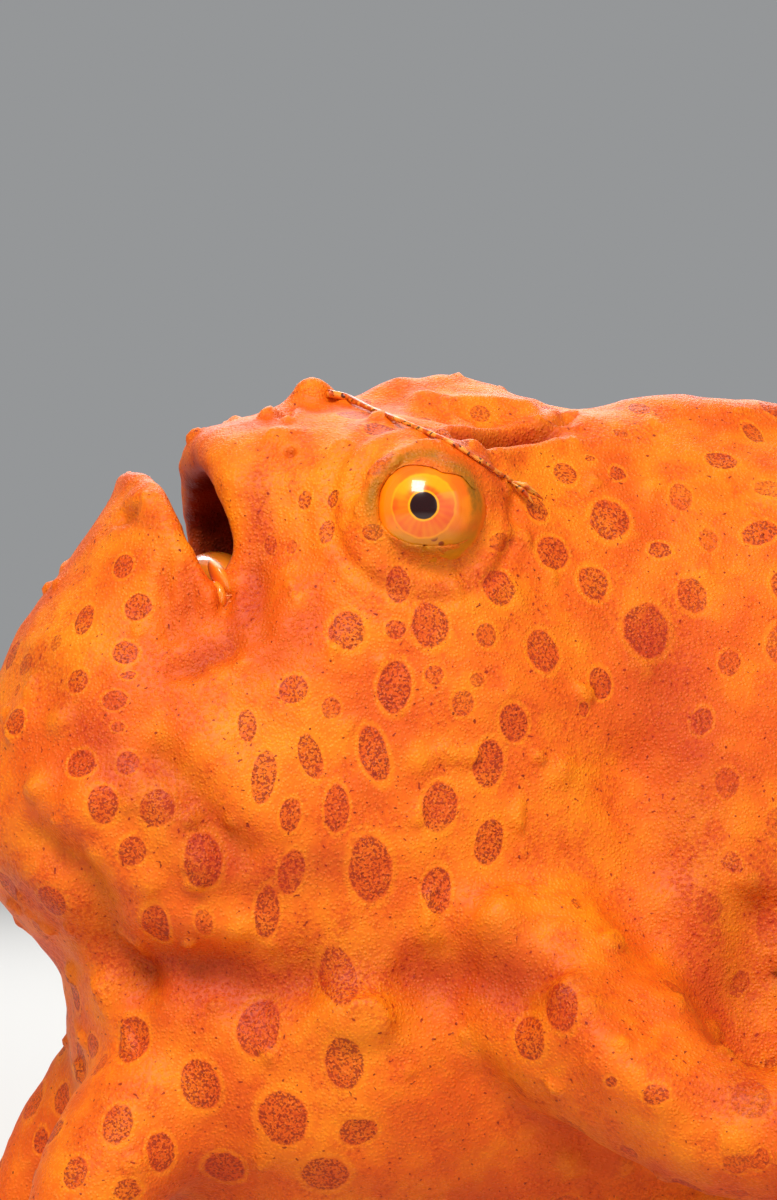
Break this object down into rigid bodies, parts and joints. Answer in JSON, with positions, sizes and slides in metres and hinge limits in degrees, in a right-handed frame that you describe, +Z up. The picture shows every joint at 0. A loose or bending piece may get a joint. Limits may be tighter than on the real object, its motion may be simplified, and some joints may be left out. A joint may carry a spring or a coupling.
{
  "type": "frogfish",
  "caption": "Life-size orange painted frogfish resting on belly, limbs and fins, mouth nearly upright, skin velvety with dark rimmed spots, fishing rod laid back over the head.",
  "frame": {"origin": "middle of the fish's length and width, on the floor it rests on", "axes": "the fish faces -X, its left side is -Y, +Z up"},
  "size_m": [0.2106, 0.1362, 0.109],
  "materials": {
    "skin": "wet velvety skin set with fine spinules, orange with dark spots",
    "fin": "fleshy rayed fin, orange with dark spots",
    "eye": "clear wet eye with a yellow iris and a dark pupil",
    "lure": "pale banded rod and lure",
    "mouth": "wet pale flesh inside the mouth"
  },
  "bodies": {
    "root": {"head": "skin", "lower_jaw": "skin", "throat": "skin", "trunk": "skin", "hind_body": "skin", "tail_stalk": "skin", "illicium_base": "skin", "dorsal_spine_2": "skin", "dorsal_spine_3": "skin", "pectoral_arm_left": "skin", "pectoral_arm_right": "skin", "pelvic_leg_left": "skin", "pelvic_leg_right": "skin", "dorsal_fin": "fin", "anal_fin": "fin", "caudal_fin": "fin", "pectoral_fin_left": "fin", "pectoral_fin_right": "fin", "pelvic_fin_left": "fin", "pelvic_fin_right": "fin", "eye_left": "eye", "eye_right": "eye", "illicium": "lure", "esca": "lure", "tongue": "mouth"}
  },
  "joints": []
}
